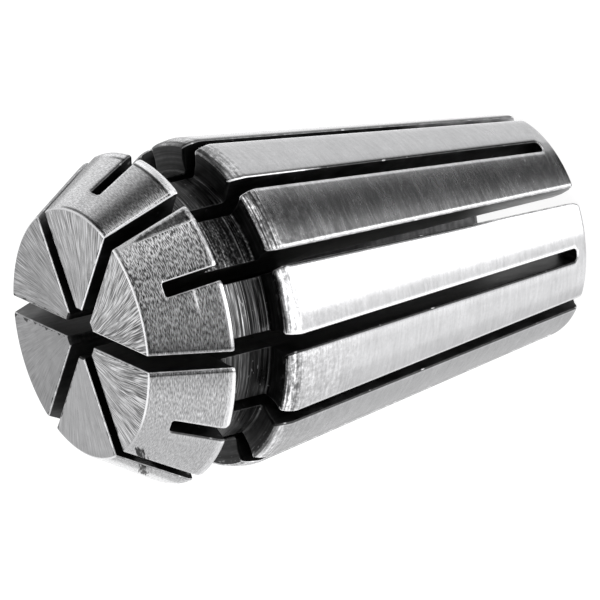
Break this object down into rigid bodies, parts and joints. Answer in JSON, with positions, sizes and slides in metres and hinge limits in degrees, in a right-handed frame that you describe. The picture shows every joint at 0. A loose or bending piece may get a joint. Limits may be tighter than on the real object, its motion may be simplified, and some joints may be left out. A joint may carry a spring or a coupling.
{
  "type": "er collet",
  "caption": "Slit spring-steel collet with an eight-degree clamping taper, thirty-degree nose cone and extraction groove, for holding a small round shank.",
  "frame": {"origin": "centre of the rear end, on which the collet stands", "axes": "+Z along the collet's axis towards its nose; +X through the middle of one front slot"},
  "size_m": [0.017, 0.017, 0.027],
  "materials": {
    "ground_steel": "ground spring steel, bright satin on the cones and the front face, darker turned groove and slot walls"
  },
  "bodies": {
    "root": {"collet": "ground_steel"}
  },
  "joints": []
}
